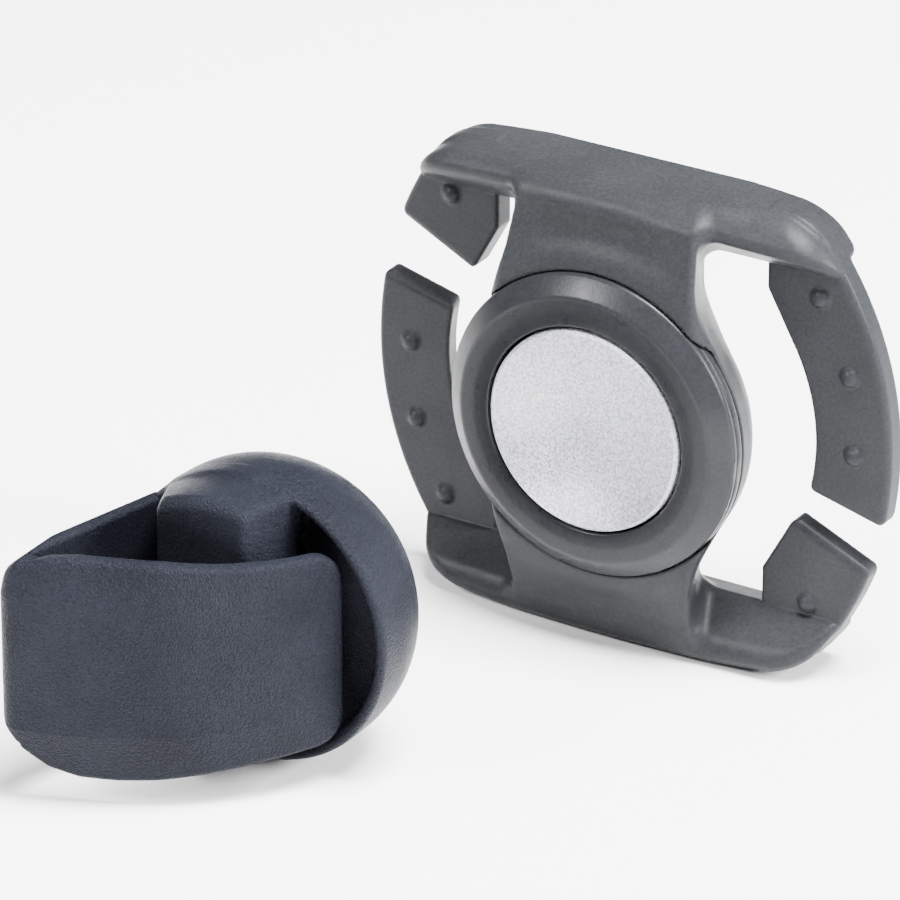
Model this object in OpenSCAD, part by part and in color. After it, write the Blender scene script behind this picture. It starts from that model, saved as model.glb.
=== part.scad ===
// Magnet set of a cycling computer: a crank magnet in a slotted carrier,
// and a wheel magnet in a spring clip with a domed cap.
// +Z is up. The carrier's magnet and the clip's spoke side face -Y.

/* [Crank magnet] */
// Diameter of the crank magnet
magnet_d = 12; // [10:0.5:12]
// Thickness of the crank magnet
magnet_t = 3; // [2:0.1:3.2]
// Thickness of the steel keeper behind the crank magnet
keeper_t = 1; // [0.6:0.1:1.2]
// Outer diameter of the bezel ring
ring_d = 18; // [17.4:0.1:18.4]
// Diameter of the bezel's flat face, inside its chamfer
ring_face_d = 15.8; // [15:0.1:16.4]

/* [Carrier] */
// Width over the arms
carrier_w = 32.8; // [32:0.1:34]
// Radius of the side curve over a long arm
long_side_r = 17.4; // [16.4:0.1:19]
// Radius of the side curve over a short arm
short_side_r = 21; // [18:0.5:24]
// Height over the two end bars, at their middle
carrier_h = 27.6; // [27:0.1:28]
// Radius of the crown on the end bars' outer faces
crown_r = 100; // [60:5:200]
// Depth from the magnet's face to the back of the carrier
carrier_depth = 7.6; // [7.2:0.1:8]
// Radius of the arms' inner edge
arm_inner_r = 11.8; // [11.6:0.1:12.4]
// Thickness of the arms
arm_t = 1.6; // [1.4:0.1:2.2]
// Width of the neck between the hub and each end bar
neck_w = 12; // [11:0.1:12.6]
// Angle below the horizontal where each long arm ends
gap_start = 13.5; // [8:0.5:16]
// Angle below the horizontal where each short arm begins
gap_end = 26; // [22:0.5:30]
// Diameter of the small grip pips on the arms
pip_d = 1.3; // [1:0.1:1.6]

/* [Clip] */
// Diameter of the domed cap
cap_d = 16.9; // [16.6:0.1:17.4]
// Depth of the cap from its inner face to the pole of the dome
cap_depth = 9; // [8:0.1:9.4]
// Diameter of the wheel magnet
wheel_magnet_d = 10; // [8:0.5:10]
// Thickness of the wheel magnet
wheel_magnet_t = 2.8; // [2:0.1:3]
// How far the spoke rib stands out of the cap
rib_out = 3.5; // [3:0.1:3.5]
// Wall thickness of the spring band
band_t = 0.9; // [0.8:0.05:1]
// Radius of the band's front wall
band_r = 19; // [18.8:0.1:19.2]
// Half the height of the front wall where it is tallest
band_half_h = 6.5; // [6.3:0.1:6.8]
// Half the height of the front wall at its free end
band_end_half_h = 5.8; // [5.6:0.1:6]
// Radius of the tight bend at the end of the back wall
bend_r = 1; // [0.95:0.01:1.05]

/* [Layout] */
// Sideways offset of the clip's axis from the carrier's axis
clip_side = -9.15; // [-12:0.05:-6]
// Distance of the cap's inner face in front of the crank magnet's face
clip_ahead = 19.65; // [19:0.05:26]

/* [Hidden] */
$fn = 96;

overlap = 0.01;
clearance = 0.05;

// Carrier: radii, planes of depth and planes of height
carrier_r = carrier_w / 2;
half_h = carrier_h / 2;
ring_r = ring_d / 2;
ring_back = 3;
ring_edge_depth = 0.9;
pocket_r = magnet_d / 2 + 0.12;
hub_r = 8.7;
hub_shoulder_r = 8.4;
hub_shoulder = 4.2;
hub_back_r = 6.4;
hub_back = 6.2;
spigot_r = 7.4;
spigot_t = 0.8;
spigot_len = 1.2;
neck_front = 2.2;
neck_edge = 3;
neck_back = 6.2;
neck_back_w = 9.2;
neck_inset = 1.2;
// Each neck widens towards the hub on the side of the short arm
neck_flare = 1.6;
neck_flare_z = 10.4;
neck_flare_back = 3.2;
neck_hub_z = 6.6;
bar_front = 2.1;
// Sweep of a bar's nose: [half width, depth] where it turns, and its depth at the end
nose_turn = [10.5, 2.9];
nose_end = 4.4;
bar_lip_z = 12.3;
bar_inner_z = 10.2;
bar_inner_back_z = 11;
// Height of the crown's arc cut away, so that the carrier can stand
crown_flat = 0.2;
bar_root_depth = 5.2;
bar_edge = 0.6;
arm_front = 5.1;
arm_back = arm_front + arm_t;
arm_root_x = 8.8;
// Points of the upper arm's root, where it leaves the end bar
arm_root_top = half_h - 1;
arm_root_side = 8.6;
arm_root_inner = [11.1, 4.4];
arm_root_outer = [13, 5];
spine_half_w = arm_root_x;
// Pips: [angle, radius]
long_arm_pips = [[0, 14.2], [18.7, 14.6], [37, 15.1]];
short_arm_pip = [-40, 15.1];
pip_sink = 0.15;

// Clip: planes of depth, counted from the cap's inner face
cap_r = cap_d / 2;
cap_rim = 2;
cap_edge = 0.5;
dish_r = 7.8;
dish_depth = 1.9;
magnet_front = 2.4;
magnet_pocket_r = wheel_magnet_d / 2 + 0.06;
plug_front = magnet_front + wheel_magnet_t + clearance;
rib_left = -3.5;
rib_right = 2.4;
rib_r = cap_r - 0.15;
rib_foot = 6.3;
band_centre = [-11.7, 7.6];
bend_centre = [-8, -10.02];
wall_lean = 12.9;
wall_across = [-cos(wall_lean), sin(wall_lean)];
wall_sunk = 0.06;
wall_tip = bend_centre + (bend_r - band_t / 2 - wall_sunk) * wall_across;
wall_len = -wall_tip[1] / cos(wall_lean);
back_half_h = 5.9;
free_end_angle = -22;
end_corner_r = 1.9;
front_wall_left = -8.1;
front_wall_left_half_h = 5.5;
front_wall_tall_from = -4.6;
front_wall_tall_to = -1;
front_wall_right = 5.85;
// Corner cut of the knuckle: [across, up]
knuckle_cut = [0.5, 1.2];

// Layout: the origin is the middle of the footprint, on the floor
left_extent = clip_side + bend_centre[0] - bend_r;
right_extent = carrier_r;
front_extent = -clip_ahead + bend_centre[1] - bend_r;
back_extent = carrier_depth;
carrier_x = -(left_extent + right_extent) / 2;
carrier_y = -(front_extent + back_extent) / 2;
clip_x = carrier_x + clip_side;
clip_y = carrier_y - clip_ahead;

plastic = [0.27, 0.28, 0.30];
clip_plastic = [0.24, 0.26, 0.31];
nickel = [0.80, 0.81, 0.82];
steel = [0.55, 0.56, 0.58];

// ---------- helpers ----------

// Carrier frame: magnet axis at the origin, its face at y = 0
module on_carrier() {
    translate([carrier_x, carrier_y, half_h]) children();
}

// Clip frame: cap axis at the origin, the cap's inner face at y = 0
module on_clip() {
    translate([clip_x, clip_y, cap_r]) children();
}

// A front-view outline, extruded from depth y0 to depth y1
module slab(y0, y1) {
    translate([0, y1, 0])
        rotate([90, 0, 0])
            linear_extrude(y1 - y0)
                children();
}

// A round bar along Y
module disc(r, y0, y1) {
    translate([0, y0, 0])
        rotate([-90, 0, 0])
            cylinder(r = r, h = y1 - y0);
}

// A ring along Y
module tube(r_out, r_in, y0, y1) {
    difference() {
        disc(r_out, y0, y1);
        disc(r_in, y0 - 1, y1 + 1);
    }
}

// Points of an arc, for outlines
function arc(c, r, a0, a1, steps) =
    [for (i = [0:steps]) let (a = a0 + (a1 - a0) * i / steps)
        [c[0] + r * cos(a), c[1] + r * sin(a)]];

// ---------- carrier ----------

// Sector between two angles, wide enough to cover the arms
module sector(a0, a1) {
    polygon(concat([[0, 0]], arc([0, 0], 2 * carrier_r, a0, a1, 6)));
}

// Quarter of the carrier's front view, upper right, with side radius r
module quarter_outline(r) {
    intersection() {
        translate([carrier_r - r, 0]) circle(r = r);
        translate([0, half_h + crown_flat - crown_r]) circle(r = crown_r, $fn = 720);
        square([carrier_w, half_h]);
    }
}

// Right half of the front view: long arm above, short arm below
module right_outline() {
    quarter_outline(long_side_r);
    mirror([0, 1]) quarter_outline(short_side_r);
}

// Front view of one side's arm ring, from the bar's root outwards
module arm_outline(a0, a1) {
    intersection() {
        difference() {
            right_outline();
            circle(r = arm_inner_r);
        }
        sector(a0, a1);
        translate([arm_root_x, -half_h])
            square([carrier_r, carrier_h]);
    }
}

// Inner corner that joins an arm to its bar
module arm_root_outline() {
    intersection() {
        right_outline();
        polygon([
            [arm_root_x, arm_root_top], [arm_root_x, arm_root_side], arm_root_inner,
            arm_root_outer, [arm_root_outer.x, arm_root_top]
        ]);
    }
}

// Section of an end bar: lip at the front, flat underside behind it
module bar_section() {
    polygon(concat(
        [[bar_front, bar_lip_z + 0.2]],
        arc([bar_front + bar_edge, half_h - bar_edge], bar_edge, 180, 90, 5),
        arc([carrier_depth - bar_edge, half_h - bar_edge], bar_edge, 90, 0, 5),
        [[carrier_depth, bar_inner_back_z], [bar_root_depth, bar_inner_z]]
    ));
}

// Plan of a bar's right half: the nose sweeps back towards the end
module bar_plan() {
    polygon([
        [0, bar_front], nose_turn, [carrier_r, nose_end],
        [carrier_r, carrier_depth], [0, carrier_depth]
    ]);
}

// Solid whose front view is the right half, with both bars' sections
module right_bars() {
    intersection() {
        translate([0, 0, -half_h]) linear_extrude(carrier_h) bar_plan();
        rotate([90, 0, 90])
            linear_extrude(carrier_r) {
                bar_section();
                mirror([0, 1]) bar_section();
            }
        slab(0, carrier_depth + 1) right_outline();
    }
}

// Small dome on an arm's face, at [angle, radius]
module pip(place) {
    rotate([0, -place[0], 0])
        translate([place[1], arm_front + pip_sink, 0])
            sphere(d = pip_d, $fn = 24);
}

// Upper end bar's right half with the long arm below it
module long_arm() {
    intersection() {
        right_bars();
        translate([spine_half_w, -1, 0]) cube([carrier_r, carrier_depth + 2, half_h]);
    }
    slab(arm_front, arm_back) {
        arm_outline(-gap_start, 60);
        arm_root_outline();
    }
    for (place = long_arm_pips) pip(place);
}

// Lower end bar's right half with the short arm above it
module short_arm() {
    intersection() {
        right_bars();
        translate([spine_half_w, -1, -half_h]) cube([carrier_r, carrier_depth + 2, half_h]);
    }
    slab(arm_front, arm_back) {
        arm_outline(-60, -gap_end);
    }
    pip(short_arm_pip);
}

// Hub behind the bezel ring, narrower towards its back
module hub() {
    rotate([-90, 0, 0]) {
        translate([0, 0, ring_back])
            cylinder(r1 = hub_r, r2 = hub_shoulder_r, h = hub_shoulder - ring_back + overlap);
        translate([0, 0, hub_shoulder])
            cylinder(r1 = hub_shoulder_r, r2 = hub_back_r, h = hub_back - hub_shoulder);
    }
}

// Plan section of the necks: wide at the front, narrower at the back
module neck_section() {
    polygon([
        [-neck_w / 2, neck_front], [neck_w / 2, neck_front], [neck_w / 2, neck_edge],
        [neck_back_w / 2, neck_back], [-neck_back_w / 2, neck_back], [-neck_w / 2, neck_edge]
    ]);
}

// Front view of the web that widens the upper neck towards the hub, on its left
module upper_flare_outline() {
    polygon([
        [-neck_w / 2, neck_flare_z], [-neck_w / 2 - neck_flare, neck_hub_z],
        [-neck_w / 2, neck_hub_z - neck_flare], [0, neck_hub_z], [0, neck_flare_z]
    ]);
}

// Both necks and their webs, one the half-turn copy of the other
module necks() {
    translate([0, 0, -half_h + neck_inset])
        linear_extrude(carrier_h - 2 * neck_inset)
            neck_section();
    slab(neck_front, neck_flare_back) {
        upper_flare_outline();
        rotate(180) upper_flare_outline();
    }
}

// Middle of both bars, on the right of the axis
module spine_bars() {
    intersection() {
        right_bars();
        translate([0, -1, -half_h]) cube([spine_half_w, carrier_depth + 2, carrier_h]);
    }
}

// Hub, necks and the middle of both bars, with the magnet's pocket
module spine() {
    difference() {
        union() {
            hub();
            spine_bars();
            rotate([0, 180, 0]) spine_bars();
            necks();
        }
        disc(ring_r + clearance, -1, ring_back);
        disc(pocket_r, ring_back - 1, ring_back + keeper_t);
        tube(spigot_r + clearance, spigot_r - spigot_t - clearance,
             ring_back - 1, ring_back + spigot_len + clearance);
    }
}

module carrier_spine() {
    color(plastic) on_carrier() spine();
}

module upper_right_arm() {
    color(plastic) on_carrier() long_arm();
}

module lower_right_arm() {
    color(plastic) on_carrier() short_arm();
}

module upper_left_arm() {
    color(plastic) on_carrier() mirror([1, 0, 0]) mirror([0, 0, 1]) short_arm();
}

module lower_left_arm() {
    color(plastic) on_carrier() mirror([1, 0, 0]) mirror([0, 0, 1]) long_arm();
}

// Bezel ring: crowned face, chamfer, and a spigot that snaps into the hub
module bezel_ring() {
    color(plastic) on_carrier()
        difference() {
            union() {
                rotate([-90, 0, 0]) {
                    cylinder(r1 = ring_face_d / 2, r2 = ring_r, h = ring_edge_depth);
                    translate([0, 0, ring_edge_depth - overlap])
                        cylinder(r = ring_r, h = ring_back - ring_edge_depth + overlap);
                }
                disc(spigot_r, ring_back - overlap, ring_back + spigot_len);
            }
            disc(pocket_r, -1, ring_back + 1);
            disc(spigot_r - spigot_t, ring_back, ring_back + 2);
        }
}

// Disc magnet with a small bevel round its face
module crank_magnet() {
    bevel = 0.3;
    color(nickel) on_carrier()
        rotate([-90, 0, 0]) {
            translate([0, 0, -0.1])
                cylinder(r1 = magnet_d / 2 - bevel, r2 = magnet_d / 2, h = bevel);
            translate([0, 0, bevel - 0.1 - overlap])
                cylinder(d = magnet_d, h = magnet_t - bevel + 0.1);
        }
}

module keeper_washer() {
    color(steel) on_carrier()
        tube(magnet_d / 2, 1.5, ring_back, ring_back + keeper_t - clearance);
}

// ---------- clip ----------

// Half profile of the domed cap: [radius, depth]
function dome_profile() = concat(
    [[0, 0], [cap_r - cap_edge, 0], [cap_r, cap_edge]],
    [for (a = [0:7.5:90]) [cap_r * cos(a), cap_rim + (cap_depth - cap_rim) * sin(a)]]
);

module dome() {
    rotate([-90, 0, 0])
        rotate_extrude()
            polygon(dome_profile());
}

// Cap: hollow on the side of the free end, with a pocket for the magnet
module clip_cap() {
    color(clip_plastic) on_clip()
        difference() {
            dome();
            intersection() {
                disc(dish_r, -1, dish_depth);
                translate([rib_right, -1, -cap_r]) cube([cap_r, 4, cap_d]);
            }
            disc(magnet_pocket_r, magnet_front, magnet_front + wheel_magnet_t + 4);
            disc(magnet_pocket_r + 0.5, plug_front, cap_depth + 1);
        }
}

// Rib that the spoke bears on, flush with the cap's rim at the top
module spoke_rib() {
    color(clip_plastic) on_clip()
        intersection() {
            disc(rib_r, -rib_out, 0);
            translate([rib_left, -rib_out - 1, -rib_foot])
                cube([rib_right - rib_left, rib_out + 2, cap_d]);
        }
}

// Knuckle of the bend, narrower towards its ends
module knuckle() {
    body_half_h = back_half_h - knuckle_cut[1];
    translate([bend_centre[0], bend_centre[1], 0]) {
        translate([0, 0, -body_half_h]) cylinder(r = bend_r, h = 2 * body_half_h);
        for (side = [0, 1])
            mirror([0, 0, side])
                translate([0, 0, body_half_h - overlap])
                    cylinder(r1 = bend_r, r2 = bend_r - knuckle_cut[0], h = knuckle_cut[1]);
    }
}

// Back wall of the band, from the cap to the knuckle of the bend
module clip_back_wall() {
    color(clip_plastic) on_clip() {
        intersection() {
            translate([wall_tip[0], wall_tip[1], -back_half_h])
                rotate([0, 0, 90 - wall_lean])
                    translate([0, -band_t / 2, 0])
                        cube([wall_len + 1, band_t, 2 * back_half_h]);
            translate([-cap_d, -cap_d - clearance, -cap_r])
                cube([2 * cap_d, cap_d, cap_d]);
        }
        knuckle();
    }
}

// Upper half of the front wall's front view, with a rounded corner at its free end
function front_wall_half() = concat(
    [[front_wall_left, 0], [front_wall_left, front_wall_left_half_h]],
    [[front_wall_tall_from, band_half_h], [front_wall_tall_to, band_half_h]],
    arc([front_wall_right - end_corner_r, band_end_half_h - end_corner_r],
        end_corner_r, 80, 0, 6),
    [[front_wall_right, 0]]
);

// The same points below the middle, in reverse order
function below(points) =
    [for (i = [len(points) - 2:-1:1]) [points[i][0], -points[i][1]]];

module front_wall_outline() {
    polygon(concat(front_wall_half(), below(front_wall_half())));
}

// Front wall: it flexes about the bend
module clip_front_wall() {
    color(clip_plastic) on_clip()
        difference() {
            intersection() {
                translate([band_centre[0], band_centre[1], -cap_r])
                    linear_extrude(cap_d)
                        intersection() {
                            difference() {
                                circle(r = band_r, $fn = 180);
                                circle(r = band_r - band_t, $fn = 180);
                            }
                            polygon(concat([[0, 0]], arc([0, 0], 2 * band_r, -80, free_end_angle, 6)));
                        }
                slab(-cap_d, cap_r) front_wall_outline();
            }
            translate([bend_centre[0], bend_centre[1], -cap_r])
                cylinder(r = bend_r + clearance, h = cap_d);
            translate([-cap_d, -cap_d, -cap_r])
                cube([cap_d + bend_centre[0], 2 * cap_d, cap_d]);
        }
}

module wheel_magnet() {
    color(nickel) on_clip()
        disc(wheel_magnet_d / 2, magnet_front, magnet_front + wheel_magnet_t);
}

// Press-in plug that closes the magnet's pocket, flush with the dome
module magnet_plug() {
    color(clip_plastic) on_clip()
        intersection() {
            dome();
            disc(magnet_pocket_r + 0.5 - clearance, plug_front, cap_depth + 1);
        }
}

carrier_spine();
upper_right_arm();
lower_right_arm();
upper_left_arm();
lower_left_arm();
bezel_ring();
crank_magnet();
keeper_washer();
clip_cap();
spoke_rib();
clip_back_wall();
clip_front_wall();
wheel_magnet();
magnet_plug();
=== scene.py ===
import math
import bpy
import numpy as np
from mathutils import Matrix, Vector


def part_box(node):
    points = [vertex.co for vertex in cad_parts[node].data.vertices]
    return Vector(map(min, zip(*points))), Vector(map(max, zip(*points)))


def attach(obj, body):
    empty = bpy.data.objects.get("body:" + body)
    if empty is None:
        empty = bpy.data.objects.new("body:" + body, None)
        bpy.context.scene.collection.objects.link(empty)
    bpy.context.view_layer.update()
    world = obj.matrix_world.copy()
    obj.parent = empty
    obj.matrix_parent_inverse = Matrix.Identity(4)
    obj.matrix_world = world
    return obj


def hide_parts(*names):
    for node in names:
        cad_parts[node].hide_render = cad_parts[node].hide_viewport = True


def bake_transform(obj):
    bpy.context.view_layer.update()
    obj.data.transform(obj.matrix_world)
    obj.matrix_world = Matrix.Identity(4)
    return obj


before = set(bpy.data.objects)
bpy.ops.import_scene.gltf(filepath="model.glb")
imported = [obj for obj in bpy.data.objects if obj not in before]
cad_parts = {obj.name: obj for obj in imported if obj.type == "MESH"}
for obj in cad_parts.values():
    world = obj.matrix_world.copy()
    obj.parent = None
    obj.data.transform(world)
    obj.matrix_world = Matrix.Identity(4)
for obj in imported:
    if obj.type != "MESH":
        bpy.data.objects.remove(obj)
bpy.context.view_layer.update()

MM = 0.001
# A distance that counts as far from any surface, in mm
FAR = 9.0

# ---------- shapes as distance fields, in mm ----------


def round_max(a, b, r):
    """Intersection of two fields, its edge rounded with radius r."""
    corner = np.hypot(np.maximum(a + r, 0), np.maximum(b + r, 0))
    return np.minimum(np.maximum(a, b), -r) + corner


def round_min(a, b, r):
    """Union of two fields, its inner corner filled with radius r."""
    corner = np.hypot(np.maximum(r - a, 0), np.maximum(r - b, 0))
    return np.maximum(np.minimum(a, b), r) - corner


def line_side(u, v, p, q):
    """Signed distance from the line p to q; positive on its right-hand side."""
    du, dv = q[0] - p[0], q[1] - p[1]
    return ((u - p[0]) * dv - (v - p[1]) * du) / math.hypot(du, dv)


def segment_distance(u, v, p, q):
    """Distance from the segment p to q."""
    du, dv = q[0] - p[0], q[1] - p[1]
    t = np.clip(((u - p[0]) * du + (v - p[1]) * dv) / (du * du + dv * dv), 0, 1)
    return np.hypot(u - p[0] - t * du, v - p[1] - t * dv)


def gradient(field, p, h):
    """Gradient of a field at an (n, 3) array of points."""
    g = np.empty_like(p)
    for axis in range(3):
        d = np.zeros(3)
        d[axis] = h
        a, b = p + d, p - d
        g[:, axis] = (field(*a.T) - field(*b.T)) / (2 * h)
    return g


# ---------- meshes from the fields ----------

CORNERS = [(i, j, k) for i in (0, 1) for j in (0, 1) for k in (0, 1)]
NEWTON_STEPS = 3
LEAST_SLOPE_SQUARED = 0.25


def cube_edges():
    """Pairs of a unit cube's corners that differ along one axis."""
    edges = []
    for a in CORNERS:
        for b in CORNERS:
            apart = sum(abs(b[n] - a[n]) for n in range(3))
            if apart == 1 and sum(b) > sum(a):
                edges.append((a, b))
    return edges


EDGES = cube_edges()


def net_vertices(values, cells, lo, step):
    """One vertex per surface cell, at the middle of its edge crossings."""
    total = np.zeros((len(cells), 3))
    count = np.zeros(len(cells))
    for a, b in EDGES:
        fa = values[tuple((cells + a).T)]
        fb = values[tuple((cells + b).T)]
        cross = (fa < 0) != (fb < 0)
        t = np.where(cross, fa / np.where(fa == fb, 1, fa - fb), 0)
        point = np.array(a) + t[:, None] * (np.array(b) - np.array(a))
        total += np.where(cross[:, None], point, 0)
        count += cross
    return lo + step * (cells + total / count[:, None])


def edge_quads(inside, index, axis):
    """Quads round every grid edge along one axis that crosses the surface."""
    u, v = [n for n in range(3) if n != axis]
    first = [slice(1, None)] * 3
    second = [slice(1, None)] * 3
    first[axis] = slice(0, -1)
    a, b = inside[tuple(first)], inside[tuple(second)]
    at = np.argwhere(a != b)
    leaving = a[tuple(at.T)]
    for n in (u, v):
        at[:, n] += 1
    ring = []
    for du, dv in ((1, 1), (0, 1), (0, 0), (1, 0)):
        cell = at.copy()
        cell[:, u] -= du
        cell[:, v] -= dv
        ring.append(index[tuple(cell.T)])
    quads = np.stack(ring, 1)
    flip = leaving if axis != 1 else ~leaving
    quads[~flip] = quads[~flip][:, ::-1]
    return quads


def corners_inside(inside):
    """How many of each grid cell's eight corners lie inside the surface."""
    nx, ny, nz = (n - 1 for n in inside.shape)
    filled = np.zeros((nx, ny, nz), int)
    for i, j, k in CORNERS:
        filled += inside[i:nx + i, j:ny + j, k:nz + k]
    return filled


def surface_net(field, lo, hi, step):
    """Points and quads of the field's zero surface on a grid."""
    size = np.ceil((np.array(hi) - lo) / step).astype(int) + 1
    axes = [lo[n] + step * np.arange(size[n]) for n in range(3)]
    values = field(*np.meshgrid(*axes, indexing="ij"))
    inside = values < 0
    filled = corners_inside(inside)
    active = (filled > 0) & (filled < 8)
    cells = np.argwhere(active)
    index = np.full(active.shape, -1)
    index[active] = np.arange(len(cells))
    points = net_vertices(values, cells, lo, step)
    faces = np.concatenate([edge_quads(inside, index, axis) for axis in range(3)])
    return points, faces


def pull_to_surface(field, points, step):
    """Newton steps onto the surface, each at most half a grid step."""
    for _ in range(NEWTON_STEPS):
        g = gradient(field, points, step * 0.1)
        slope_squared = np.maximum((g * g).sum(1), LEAST_SLOPE_SQUARED)
        move = (field(*points.T) / slope_squared)[:, None] * g
        points -= np.clip(move, -step * 0.5, step * 0.5)


def link_mesh(name, mesh):
    obj = bpy.data.objects.new(name, mesh)
    bpy.context.collection.objects.link(obj)
    return obj


def mesh_from_field(name, field, lo, hi, step, origin):
    """A smooth closed mesh of a field's zero surface, placed at origin (mm)."""
    points, faces = surface_net(field, np.array(lo, float), hi, step)
    pull_to_surface(field, points, step)
    mesh = bpy.data.meshes.new(name)
    mesh.from_pydata(((points + origin) * MM).tolist(), [], faces.tolist())
    mesh.validate()
    mesh.shade_smooth()
    normals = gradient(field, points, step * 0.3)
    normals /= np.maximum(np.linalg.norm(normals, axis=1), 1e-6)[:, None]
    mesh.normals_split_custom_set_from_vertices(normals.tolist())
    return link_mesh(name, mesh)


# ---------- where the two pieces stand ----------


def face_centre(node):
    """Middle of a round node's front face, in mm."""
    low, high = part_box(node)
    x = (low[0] + high[0]) / 2 / MM
    z = (low[2] + high[2]) / 2 / MM
    return np.array([x, low[1] / MM, z])


CARRIER = face_centre("bezel_ring")
CLIP = face_centre("clip_cap")

# ---------- carrier: x to the right, y into its depth, z up, from the magnet's centre ----------

# Outline of the front view
HALF_W = 16.38
HALF_H = 13.78
LONG_SIDE_R = 19.6
SHORT_SIDE_R = 21.5
CROWN_R = 100
CROWN_FLAT = 0.2
CORNER_R = 0.8

# End bars: the upper one's nose grows rounder towards its right end
BAR_FRONT = 2.15
BAR_BACK = 7.58
UPPER_SWEEP = 0.1
LOWER_SWEEP = 0.04
NOSE_MIDDLE = 2.5
END_SWEEP_FROM = 10
END_SWEEP_R = 7
TOP_DROP_R = 22
UPPER_NOSE_R = 1.0
LOWER_NOSE_R = 0.9
NOSE_GROWTH = 0.2
NOSE_GROWS_FROM = 1
NOSE_GROWS_FOR = 7
BAR_END_R = 1.2
LIP = (2.8, 12.0)
ROOT = (5.0, 10.3)
ROOT_BACK = (7.6, 11.0)
ROOT_R = 0.3
LIP_R = 0.6
BAR_BACK_R = 0.5

# Arms: their inner edge is an arc as far as TANGENT, then straight
ARM_FRONT = 5.05
ARM_BACK = 6.6
ARM_INNER_R = 11.7
STUB_INNER_R = 11.45
ARM_ROOT_X = 8.55
ARM_EDGE_R = 0.4
ARM_BACK_R = 0.3
ARM_INNER_EDGE_R = 0.2
ARM_END_R = 0.6
ARM_DRAFT = 0.25
TANGENT = math.radians(28.7)
LONG_END = math.radians(-14.4)
SHORT_END_RIGHT = math.radians(-24)
SHORT_END_LEFT = math.radians(-27)

# Pips: (angle, distance from the centre)
LONG_PIPS = ((0, 14.2), (18.7, 14.6), (37, 14.9))
SHORT_PIP = (-40, 15.05)
PIP_R = 0.62
PIP_SINK = 0.2

# Neck and hub: points of their sections are (depth, height) and (radius, depth)
NECK_HALF_W = 5.85
NECK_TAPER = 0.4
NECK_TAPER_FROM = 2
NECK_FRONT = 1.15
NECK_BACK = 5.6
NECK_TOP = 12.4
NECK_NOSE = (2.25, 12.7)
NECK_FOOT = (1.15, 8.4)
NECK_EDGE_R = 0.5
NECK_CREASE_R = 0.3
HUB_FRONT = 1.95
HUB_BACK = 6.18
HUB_RIM = (9.0, HUB_FRONT)
HUB_WAIST = (8.55, 4.2)
HUB_TAIL = (6.4, 6.2)
HUB_EDGE_R = 0.6
HUB_FRONT_R = 0.12

# Seat for the ring, and the well for the magnet and its keeper
RING_R = 9.0
RING_GAP = 0.04
WELL_R = 6.1
WELL_BACK = 4.0
SEAT_EDGE_R = 0.2

# Fillets where the carrier's parts join
ARM_JOIN_R = 0.12
PIP_JOIN_R = 0.12
HUB_JOIN_R = 2.1
NECK_JOIN_R = 1.3


def outline(x, z):
    """Sides and crowns of the front view, folded to x >= 0: long arm above, short arm below."""
    side_r = np.where(z > 0, LONG_SIDE_R, SHORT_SIDE_R)
    side = np.hypot(x - (HALF_W - side_r), z) - side_r
    arc = np.hypot(x, np.abs(z) - (HALF_H + CROWN_FLAT - CROWN_R)) - CROWN_R
    return side, np.maximum(arc, np.abs(z) - HALF_H)


def nose(x, y, z, side, crown):
    """Front and top of the end bars; the upper one's top drops towards the front."""
    growth = NOSE_GROWTH * np.clip(x - NOSE_GROWS_FROM, 0, NOSE_GROWS_FOR)
    nose_r = np.where(z > 0, UPPER_NOSE_R + growth, LOWER_NOSE_R)
    drop = np.where(z > 0, (BAR_BACK - y) ** 2 / (2 * TOP_DROP_R), 0)
    sweep = np.where(z > 0, UPPER_SWEEP, LOWER_SWEEP) * (np.hypot(x, NOSE_MIDDLE) - NOSE_MIDDLE)
    end_sweep = np.maximum(x - END_SWEEP_FROM, 0) ** 2 / (2 * END_SWEEP_R)
    front = BAR_FRONT + sweep + end_sweep
    return round_max(round_max(crown + drop, front - y, nose_r), side, BAR_END_R)


def bars(x, y, z, side, crown):
    """Both end bars: a rounded nose in front, a sloping underside behind it."""
    slope = line_side(y, np.abs(z), LIP, ROOT)
    ledge = line_side(y, np.abs(z), ROOT, ROOT_BACK)
    under = round_max(slope, ledge, ROOT_R)
    body = round_max(nose(x, y, z, side, crown), under, LIP_R)
    return round_max(body, y - BAR_BACK, BAR_BACK_R)


def arms(x, y, z, rim, turn):
    """Long and short arm, with their rounded outer edges and drafted inner edges."""
    plate = round_max(rim, ARM_FRONT - y, ARM_EDGE_R)
    plate = round_max(plate, y - ARM_BACK, ARM_BACK_R)
    angle = np.arctan2(np.abs(z), x)
    slanted = x * math.cos(TANGENT) + np.abs(z) * math.sin(TANGENT)
    reach = np.where(angle > TANGENT, slanted, np.hypot(x, z))
    long_inner = ARM_INNER_R + ARM_DRAFT * (y - ARM_FRONT) - reach
    long_arm = round_max(plate, np.maximum(long_inner, ARM_ROOT_X - x), ARM_INNER_EDGE_R)
    long_end = x * math.sin(LONG_END) - z * math.cos(LONG_END)
    long_arm = round_max(long_arm, long_end, ARM_END_R)
    short_inner = np.maximum(STUB_INNER_R - reach, ARM_ROOT_X - x)
    short_arm = round_max(plate, short_inner, ARM_INNER_EDGE_R)
    short_angle = np.where(turn > 0, SHORT_END_RIGHT, SHORT_END_LEFT)
    short_end = z * np.cos(short_angle) - x * np.sin(short_angle)
    short_arm = round_max(short_arm, short_end, ARM_END_R)
    return np.minimum(long_arm, short_arm)


def pips(x, y, z):
    """Small grip domes on the arms' faces."""
    found = np.full_like(x, FAR)
    for angle, r in LONG_PIPS + (SHORT_PIP,):
        px = r * math.cos(math.radians(angle))
        pz = r * math.sin(math.radians(angle))
        away = np.sqrt((x - px) ** 2 + (y - ARM_FRONT - PIP_SINK) ** 2 + (z - pz) ** 2)
        found = np.minimum(found, away - PIP_R)
    return found


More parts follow.
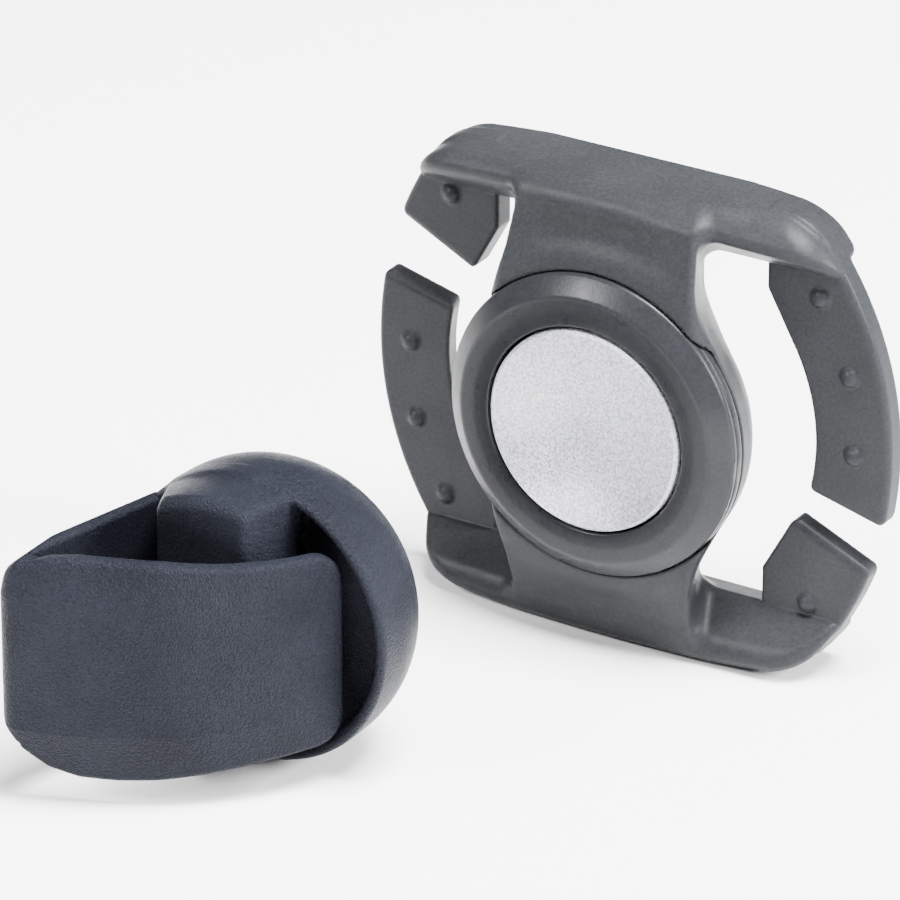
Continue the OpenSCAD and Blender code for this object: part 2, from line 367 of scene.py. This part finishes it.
def neck(x, y, z_abs):
    """Neck between the hub and a bar: its front slopes back to the bar's nose."""
    front = line_side(y, z_abs, NECK_NOSE, NECK_FOOT)
    front = round_max(front, NECK_FRONT - y, NECK_CREASE_R)
    half_w = NECK_HALF_W - NECK_TAPER * (y - NECK_TAPER_FROM)
    body = round_max(front, np.abs(x) - half_w, NECK_EDGE_R)
    body = round_max(body, y - NECK_BACK, NECK_EDGE_R)
    return round_max(body, z_abs - NECK_TOP, NECK_CREASE_R)


def hub(x, y, z):
    """Hub behind the ring, narrower towards its back."""
    r = np.hypot(x, z)
    flank = line_side(r, y, HUB_RIM, HUB_WAIST)
    shoulder = line_side(r, y, HUB_WAIST, HUB_TAIL)
    body = round_max(flank, shoulder, HUB_EDGE_R)
    body = round_max(body, y - HUB_BACK, HUB_EDGE_R)
    return round_max(body, HUB_FRONT - y, HUB_FRONT_R)


def seat(x, y, z):
    """Space for the ring, the magnet and its keeper."""
    r = np.hypot(x, z)
    ring = np.maximum(r - RING_R - RING_GAP, y - HUB_FRONT)
    well = np.maximum(r - WELL_R, y - WELL_BACK)
    return np.minimum(ring, well)


def carrier_field(x, y, z):
    """The carrier moulding; its left arms are the right ones turned half a turn."""
    turn = np.where(x < 0, -1.0, 1.0)
    fx, fz = x * turn, z * turn
    side, crown = outline(fx, fz)
    rim = round_max(side, crown, CORNER_R)
    body = round_min(bars(x, y, z, side, crown), arms(fx, y, fz, rim, turn), ARM_JOIN_R)
    body = np.minimum(body, round_min(body, pips(fx, y, fz), PIP_JOIN_R))
    core = round_min(neck(x, y, np.abs(z)), hub(x, y, z), HUB_JOIN_R)
    body = round_min(body, core, NECK_JOIN_R)
    return round_max(body, -seat(x, y, z), SEAT_EDGE_R)


# ---------- clip: x to the right, y into the cap, z up, from the cap's centre ----------

# Cap: a drum with a dome behind it, hollow on the rib's right
CAP_R = 8.45
CAP_RIM = 2.0
CAP_DEPTH = 9.0
CAP_FACE_R = 0.5
HOLLOW_LEFT = 2.45
HOLLOW_R = 7.75
HOLLOW_BACK = 1.95
HOLLOW_FLOOR_R = 0.4
HOLLOW_SIDE_R = 0.3
HOLLOW_EDGE_R = 0.7
POCKET_R = 5.06
POCKET_FRONT = 2.4
POCKET_HALF = 5.3

# Rib that the spoke lies against: its sides flare towards the cap
RIB_FRONT = -3.5
RIB_BACK = 1.2
RIB_LEFT = -3.7
RIB_RIGHT = 2.05
RIB_FOOT = -6.3
RIB_INSET = 0.05
RIB_FLARE = 0.5
RIB_FLARE_FROM = 0.5
RIB_FLARE_FOR = 4
RIB_SLANT = 0.18
RIB_NOSE_R = 0.7
RIB_SIDE_R = 0.3
RIB_EDGE_R = 0.45
RIB_FOOT_R = 0.5
RIB_JOIN_R = 0.3

# Spring band in plan: front wall on an arc, tight bend, straight back wall
BAND_T = 0.9
BAND_R = 19
BAND_CENTRE = (-11.7, 7.6)
BAND_EDGE_R = 0.3
BEND = (-8.0, -10.02)
BEND_R = 0.98
BEND_CUT = 0.3
BEND_CUT_R = 0.2
BEND_REACH = 1
WALL_END = (-6.0, 0.3)
FREE_ANGLE = math.radians(-22.5)
FREE_R = 1.9

# Band's height above and below the middle, at places along x
WALL_X = (-8.9, -8.3, -7.6, -6.5, -5, -3, -1, 1, 3, 5, 6.3)
WALL_TOP = (4.2, 5.1, 5.7, 6.15, 6.35, 6.3, 6.15, 5.85, 5.62, 5.45, 5.45)
WALL_FOOT = (3.5, 4.6, 5.5, 6.4, 6.85, 6.9, 6.8, 6.55, 6.2, 5.95, 5.95)
BACK_TOP_X = (-9, -8.6, -8)
BACK_TOP = (4.5, 5.3, 5.85)
BACK_FOOT_X = (-9, -8.6, -8, -7)
BACK_FOOT = (3.4, 4.0, 4.9, 5.85)

# The band's edges lean back, more at its left than at its right
LEAN_FROM = 3.9
LEAN_MIDDLE = 0.55
LEAN_PER_X = 0.05
LEAN_LEAST = 0.1
LEAN_MOST = 0.95
LEAN_OVER = 2.7


def dome(r, y):
    """Cap: short drum with a dome behind it."""
    depth = CAP_DEPTH - CAP_RIM
    back = np.maximum(y - CAP_RIM, 0)
    k = np.sqrt((r / CAP_R) ** 2 + (back / depth) ** 2)
    g = np.sqrt((r / CAP_R ** 2) ** 2 + (back / depth ** 2) ** 2)
    shell = k * (k - 1) / np.maximum(g, 1e-3)
    shell = np.where(y > CAP_RIM, shell, r - CAP_R)
    return round_max(shell, -y, CAP_FACE_R)


def hollow(x, y, r):
    """Open space to the right of the rib, where the spoke lies."""
    space = round_max(r - HOLLOW_R, y - HOLLOW_BACK, HOLLOW_FLOOR_R)
    return round_max(space, HOLLOW_LEFT - x, HOLLOW_SIDE_R)


def rib(x, y, z, r):
    """Rib in front of the cap, round on top like the cap's rim."""
    drum = round_max(r - CAP_R + RIB_INSET, RIB_FRONT - y, RIB_NOSE_R)
    drum = np.maximum(drum, y - RIB_BACK)
    flare = RIB_FLARE * np.clip(y - RIB_FRONT - RIB_FLARE_FROM, 0, RIB_FLARE_FOR)
    right = x - RIB_RIGHT - RIB_SLANT * (y - RIB_FRONT)
    sides = round_max(RIB_LEFT - flare - x, right, RIB_SIDE_R)
    return round_max(round_max(drum, sides, RIB_EDGE_R), RIB_FOOT - z, RIB_FOOT_R)


def cap_field(x, y, z):
    """The stiff half of the clip moulding: cap and rib, with the magnet's pocket."""
    r = np.hypot(x, z)
    body = round_max(dome(r, y), -hollow(x, y, r), HOLLOW_EDGE_R)
    body = round_min(body, rib(x, y, z, r), RIB_JOIN_R)
    pocket = np.maximum(r - POCKET_R, np.abs(y - POCKET_FRONT - POCKET_HALF) - POCKET_HALF)
    return np.maximum(body, -pocket)


def front_wall(x, y):
    """Front wall in plan: distance from its middle line, and the angle along it."""
    cx, cy = x - BAND_CENTRE[0], y - BAND_CENTRE[1]
    angle = np.arctan2(cy, cx)
    start = math.atan2(BEND[1] - BAND_CENTRE[1], BEND[0] - BAND_CENTRE[0])
    away = np.abs(np.hypot(cx, cy) - BAND_R + BAND_T / 2)
    return np.where((angle > start) & (angle < 0), away, FAR), angle


def back_wall(x, y):
    """Back wall and the knuckle of the bend, in plan."""
    offset = BEND_R - BAND_T / 2
    lean = math.atan2(WALL_END[0] - BEND[0] + offset, WALL_END[1] - BEND[1])
    start = (BEND[0] - offset * math.cos(lean), BEND[1] + offset * math.sin(lean))
    wall = segment_distance(x, y, start, WALL_END) - BAND_T / 2
    knuckle = np.hypot(x - BEND[0], y - BEND[1]) - BEND_R
    knuckle = round_max(knuckle, y - BEND[1] - BEND_CUT, BEND_CUT_R)
    return np.minimum(wall, knuckle)


def band_field(x, y, z):
    """The spring half of the clip moulding: front wall, bend and back wall."""
    lean = np.clip(LEAN_MIDDLE - LEAN_PER_X * x, LEAN_LEAST, LEAN_MOST) / LEAN_OVER
    back_shift = lean * np.maximum(np.abs(z) - LEAN_FROM, 0)
    front, angle = front_wall(x, y - back_shift)
    front -= BAND_T / 2
    back = back_wall(x, y - back_shift * (y < BEND[1] + BEND_REACH))
    top = np.interp(x, WALL_X, WALL_TOP)
    foot = np.interp(x, WALL_X, WALL_FOOT)
    edge = np.maximum(z - top, -z - foot)
    past_end = (angle - FREE_ANGLE) * BAND_R
    front = round_max(front, round_max(edge, past_end, FREE_R), BAND_EDGE_R)
    back_top = np.interp(x, BACK_TOP_X, BACK_TOP)
    back_foot = np.interp(x, BACK_FOOT_X, BACK_FOOT)
    back = round_max(back, np.maximum(z - back_top, -z - back_foot), BAND_EDGE_R)
    return np.minimum(front, back)

# ---------- turned pieces ----------

TURN_STEPS = 160
# Steps of the curve at each corner, and the most of an edge's length that a curve may take
CORNER_STEPS = 4
CORNER_SHARE = 1 / 2.1

# Bezel: (radius, depth) from the magnet's centre
RING_HOLE_R = 6.12
RING_FACE_RADII = (RING_HOLE_R, 6.5, 7.0, 7.5)
RING_CROWN_R = 7.0
RING_CROWN_HALF = 0.9
RING_CROWN_DROP = 0.1
RING_SHOULDER = (7.9, 0.06)
RING_CHAMFER_END = 0.9
RING_GROOVE = 1.32
RING_GROOVE_HALF = 0.05
RING_GROOVE_R = 8.93
RING_BACK = 1.9
RING_EDGE_R = 0.16

# Disc magnet: its bevel stands a little proud of the ring
DISC_R = 6.0
DISC_FACE = -0.09
DISC_FACE_R = 5.76
DISC_BEVEL = (5.96, 0.11)
DISC_SIDE = 0.5
DISC_BACK = 2.95
DISC_EDGE_R = 0.06


def rounded(profile, r):
    """The profile with each corner cut by an arc-like curve that starts r away from it."""
    result = []
    count = len(profile)
    for i in range(count):
        before, corner, after = (Vector(profile[(i + n) % count]) for n in (-1, 0, 1))
        a = corner + (before - corner).normalized() * min(r, (before - corner).length * CORNER_SHARE)
        b = corner + (after - corner).normalized() * min(r, (after - corner).length * CORNER_SHARE)
        for k in range(CORNER_STEPS + 1):
            t = k / CORNER_STEPS
            result.append(a * (1 - t) ** 2 + corner * 2 * t * (1 - t) + b * t * t)
    return [tuple(v) for v in result]


def ring_profile():
    """Bezel: gently crowned face, chamfer, side with a fine groove."""
    drop = [RING_CROWN_DROP * ((r - RING_CROWN_R) / RING_CROWN_HALF) ** 2 for r in RING_FACE_RADII]
    crown = list(zip(RING_FACE_RADII, drop))
    chamfer = [RING_SHOULDER, (RING_R, RING_CHAMFER_END)]
    groove = [
        (RING_R, RING_GROOVE - RING_GROOVE_HALF),
        (RING_GROOVE_R, RING_GROOVE),
        (RING_R, RING_GROOVE + RING_GROOVE_HALF),
    ]
    back = [(RING_R, RING_BACK), (RING_HOLE_R, RING_BACK)]
    return rounded(crown + chamfer + groove + back, RING_EDGE_R)


def disc_profile():
    """Magnet: flat face with a bright bevelled rim; its centre is closed by the lathe."""
    bevel = [(DISC_FACE_R, DISC_FACE), DISC_BEVEL]
    side = [(DISC_R, DISC_SIDE), (DISC_R, DISC_BACK)]
    return rounded(bevel + side, DISC_EDGE_R)


def turned_points(profile, origin):
    """The profile's points at each step of a turn about the Y axis."""
    points = []
    for i in range(TURN_STEPS):
        a = 2 * math.pi * i / TURN_STEPS
        for r, y in profile:
            points.append((origin[0] + r * math.cos(a), origin[1] + y, origin[2] + r * math.sin(a)))
    return points


def turned_faces(count, capped):
    """Faces between the turned copies of a profile with count points."""
    faces = []
    for i in range(TURN_STEPS):
        here, there = i * count, (i + 1) % TURN_STEPS * count
        for j in range(count - 1 if capped else count):
            k = (j + 1) % count
            faces.append((here + j, there + j, there + k, here + k))
    if capped:
        faces.append([i * count for i in reversed(range(TURN_STEPS))])
        faces.append([i * count + count - 1 for i in range(TURN_STEPS)])
    return faces


def lathe(name, profile, origin, capped=False):
    """Ring turned about the Y axis, or a disc if capped; profile is (radius, depth) in mm."""
    points = turned_points(profile, origin)
    mesh = bpy.data.meshes.new(name)
    mesh.from_pydata([[c * MM for c in p] for p in points], [], turned_faces(len(profile), capped))
    mesh.shade_smooth()
    return link_mesh(name, mesh)


# ---------- materials ----------

# Noise scales are per metre
CLOUD_SCALE = 180.0
WEAR_SCALE = 900.0
FLECK_SHARE = 0.6
# Noise values between which a plastic's and a metal's colour turns from dark to light
MOTTLE = (0.38, 0.62)
SPECK = (0.35, 0.65)
# Noise values between which roughness varies, and how far it varies
WEAR = (0.3, 0.7)
PLASTIC_WEAR = (-0.04, 0.05)
METAL_WEAR = (-0.08, 0.08)
PLASTIC_IOR = 1.5


def new_material(name):
    """A new material, with its node tree, its shader and the object's coordinates."""
    material = bpy.data.materials.new(name)
    material.use_nodes = True
    tree = material.node_tree
    shader = tree.nodes["Principled BSDF"]
    place = tree.nodes.new("ShaderNodeTexCoord").outputs["Object"]
    return material, tree, shader, place


def noise(tree, place, scale, detail, rough=0.5):
    node = tree.nodes.new("ShaderNodeTexNoise")
    tree.links.new(place, node.inputs["Vector"])
    node.inputs["Scale"].default_value = scale
    node.inputs["Detail"].default_value = detail
    node.inputs["Roughness"].default_value = rough
    return node.outputs["Fac"]


def ramp(tree, value, span, low=0.0, high=1.0):
    """Maps value from the span to low..high."""
    node = tree.nodes.new("ShaderNodeMapRange")
    tree.links.new(value, node.inputs["Value"])
    node.inputs["From Min"].default_value = span[0]
    node.inputs["From Max"].default_value = span[1]
    node.inputs["To Min"].default_value = low
    node.inputs["To Max"].default_value = high
    return node.outputs["Result"]


def vary_roughness(tree, shader, value, rough, wear):
    """Roughness that varies round rough by the two amounts in wear."""
    sheen = ramp(tree, value, WEAR, rough + wear[0], rough + wear[1])
    tree.links.new(sheen, shader.inputs["Roughness"])


def mix_colour(tree, value, a, b):
    node = tree.nodes.new("ShaderNodeMix")
    node.data_type = "RGBA"
    tree.links.new(value, node.inputs[0])
    node.inputs[6].default_value = (*a, 1)
    node.inputs[7].default_value = (*b, 1)
    return node.outputs[2]


def blend_values(tree, a, b, share):
    """Mixes two numbers; share is the second one's part."""
    node = tree.nodes.new("ShaderNodeMix")
    node.inputs[0].default_value = share
    tree.links.new(a, node.inputs[2])
    tree.links.new(b, node.inputs[3])
    return node.outputs[0]


def bump(tree, shader, height, distance):
    node = tree.nodes.new("ShaderNodeBump")
    tree.links.new(height, node.inputs["Height"])
    node.inputs["Strength"].default_value = 1.0
    node.inputs["Distance"].default_value = distance
    tree.links.new(node.outputs["Normal"], shader.inputs["Normal"])


def plastic_material(name, dark, light, gloss, rough, grain_scale, grain_depth):
    """Moulded plastic: cloudy and flecked colour, uneven sheen, fine grain."""
    material, tree, shader, place = new_material(name)
    cloud = noise(tree, place, CLOUD_SCALE, 4.0)
    fleck = noise(tree, place, grain_scale, 2.0, 0.6)
    mottle = blend_values(tree, cloud, fleck, FLECK_SHARE)
    colour = mix_colour(tree, ramp(tree, mottle, MOTTLE), dark, light)
    tree.links.new(colour, shader.inputs["Base Color"])
    vary_roughness(tree, shader, noise(tree, place, WEAR_SCALE, 3.0), rough, PLASTIC_WEAR)
    shader.inputs["IOR"].default_value = PLASTIC_IOR
    shader.inputs["Specular IOR Level"].default_value = gloss
    bump(tree, shader, fleck, grain_depth)
    return material


def metal_material(name, dark, light, rough, grain_scale, grain_depth):
    """Matt plated metal with a fine speckle."""
    material, tree, shader, place = new_material(name)
    speck = noise(tree, place, grain_scale, 2.0, 0.7)
    colour = mix_colour(tree, ramp(tree, speck, SPECK), dark, light)
    tree.links.new(colour, shader.inputs["Base Color"])
    vary_roughness(tree, shader, speck, rough, METAL_WEAR)
    shader.inputs["Metallic"].default_value = 1.0
    bump(tree, shader, speck, grain_depth)
    return material


def finish_piece(obj, material):
    obj.data.materials.clear()
    obj.data.materials.append(material)


carrier_plastic = plastic_material(
    "carrier_plastic",
    dark=(0.014, 0.0148, 0.0165),
    light=(0.0205, 0.0215, 0.024),
    gloss=0.08,
    rough=0.38,
    grain_scale=5000.0,
    grain_depth=0.00001,
)
bezel_plastic = plastic_material(
    "bezel_plastic",
    dark=(0.01, 0.0106, 0.0122),
    light=(0.0146, 0.0153, 0.0175),
    gloss=0.15,
    rough=0.3,
    grain_scale=5000.0,
    grain_depth=0.000008,
)
clip_plastic = plastic_material(
    "clip_plastic",
    dark=(0.0045, 0.005, 0.0078),
    light=(0.0105, 0.0116, 0.0168),
    gloss=0.045,
    rough=0.34,
    grain_scale=7500.0,
    grain_depth=0.00014,
)
nickel = metal_material(
    "magnet_nickel",
    dark=(0.27, 0.275, 0.295),
    light=(0.61, 0.615, 0.645),
    rough=0.6,
    grain_scale=6500.0,
    grain_depth=0.00003,
)
steel = metal_material(
    "keeper_steel",
    dark=(0.45, 0.46, 0.48),
    light=(0.6, 0.61, 0.62),
    rough=0.35,
    grain_scale=1500.0,
    grain_depth=0.000008,
)

# ---------- pieces ----------

# Grid steps, and the corners of the space each field is searched in
CARRIER_STEP = 0.16
CARRIER_LOW = (-16.7, 0.6, -14.1)
CARRIER_HIGH = (16.7, 7.9, 14.1)
CAP_STEP = 0.12
CAP_LOW = (-8.8, -3.9, -8.8)
CAP_HIGH = (8.8, 9.3, 8.8)
BAND_STEP = 0.1
BAND_LOW = (-9.1, -11.6, -7.0)
BAND_HIGH = (6.6, 1.2, 7.0)

carrier = mesh_from_field(
    "carrier_moulding", carrier_field, CARRIER_LOW, CARRIER_HIGH, CARRIER_STEP, CARRIER
)
finish_piece(carrier, carrier_plastic)
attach(carrier, "carrier")
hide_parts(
    "carrier_spine",
    "upper_right_arm",
    "lower_right_arm",
    "upper_left_arm",
    "lower_left_arm",
)

bezel = lathe("bezel", ring_profile(), CARRIER)
finish_piece(bezel, bezel_plastic)
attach(bezel, "carrier")
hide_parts("bezel_ring")

disc = lathe("disc_magnet", disc_profile(), CARRIER, capped=True)
finish_piece(disc, nickel)
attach(disc, "carrier")
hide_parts("crank_magnet")

cap = mesh_from_field("cap_moulding", cap_field, CAP_LOW, CAP_HIGH, CAP_STEP, CLIP)
finish_piece(cap, clip_plastic)
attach(cap, "clip")
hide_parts("clip_cap", "spoke_rib")

band = mesh_from_field("spring_band", band_field, BAND_LOW, BAND_HIGH, BAND_STEP, CLIP)
finish_piece(band, clip_plastic)
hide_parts("clip_back_wall", "clip_front_wall")
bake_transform(band)

for node, material, slot in (
    ("keeper_washer", steel, "keeper_steel"),
    ("wheel_magnet", nickel, "magnet_nickel"),
    ("magnet_plug", clip_plastic, "clip_plastic"),
):
    finish_piece(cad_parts[node], material)

# ---------- floor, light and camera ----------

FLOOR_SIZE = 4
FLOOR_COLOUR = (0.9, 0.9, 0.9, 1)
FLOOR_ROUGHNESS = 0.9
LIGHT_AIM = Vector((0, 0, 0.012))
SKY_COLOUR = (0.92, 0.94, 0.97, 1)
SKY_STRENGTH = 0.35

# Camera: angles and distance (mm) from a point beside and below the disc's centre
AZIMUTH = math.radians(31.5)
ELEVATION = math.radians(26.05)
DISTANCE = 420.0
AIM_LEFT = 7.27
AIM_DOWN = 0.987
LENS = 306.4


def floor_material():
    material = bpy.data.materials.new("floor_paper")
    material.use_nodes = True
    shader = material.node_tree.nodes["Principled BSDF"]
    shader.inputs["Base Color"].default_value = FLOOR_COLOUR
    shader.inputs["Roughness"].default_value = FLOOR_ROUGHNESS
    return material


def area_light(name, place, size, power):
    """A square light that points at the middle of the two pieces."""
    data = bpy.data.lights.new(name, "AREA")
    data.shape = "RECTANGLE"
    data.size, data.size_y = size, size
    data.energy = power
    lamp = bpy.data.objects.new(name, data)
    bpy.context.collection.objects.link(lamp)
    lamp.location = place
    lamp.rotation_euler = (LIGHT_AIM - Vector(place)).to_track_quat("-Z", "Y").to_euler()


def light_world():
    world = bpy.data.worlds.new("studio")
    bpy.context.scene.world = world
    world.use_nodes = True
    background = world.node_tree.nodes["Background"]
    background.inputs["Color"].default_value = SKY_COLOUR
    background.inputs["Strength"].default_value = SKY_STRENGTH


def add_camera():
    level = math.cos(ELEVATION)
    back = Vector((math.sin(AZIMUTH) * level, -math.cos(AZIMUTH) * level, math.sin(ELEVATION)))
    right = Vector((math.cos(AZIMUTH), math.sin(AZIMUTH), 0))
    up = back.cross(right)
    target = Vector(CARRIER) - right * AIM_LEFT - up * AIM_DOWN
    data = bpy.data.cameras.new("camera")
    data.lens = LENS
    data.clip_start = 0.01
    camera = bpy.data.objects.new("camera", data)
    bpy.context.collection.objects.link(camera)
    turn = Matrix((right, up, back)).transposed().to_4x4()
    camera.matrix_world = Matrix.Translation((target + back * DISTANCE) * MM) @ turn
    bpy.context.scene.camera = camera


bpy.ops.mesh.primitive_plane_add(size=FLOOR_SIZE, location=(0, 0, 0))
floor = bpy.context.object
floor.name = "floor"
floor.data.materials.append(floor_material())

area_light("overhead", (0.14, 0.0, 0.5), size=0.24, power=19.0)
area_light("side", (0.42, 0.12, 0.22), size=0.2, power=8.0)
area_light("front", (-0.25, -0.33, 0.34), size=0.16, power=4.0)
light_world()
add_camera()
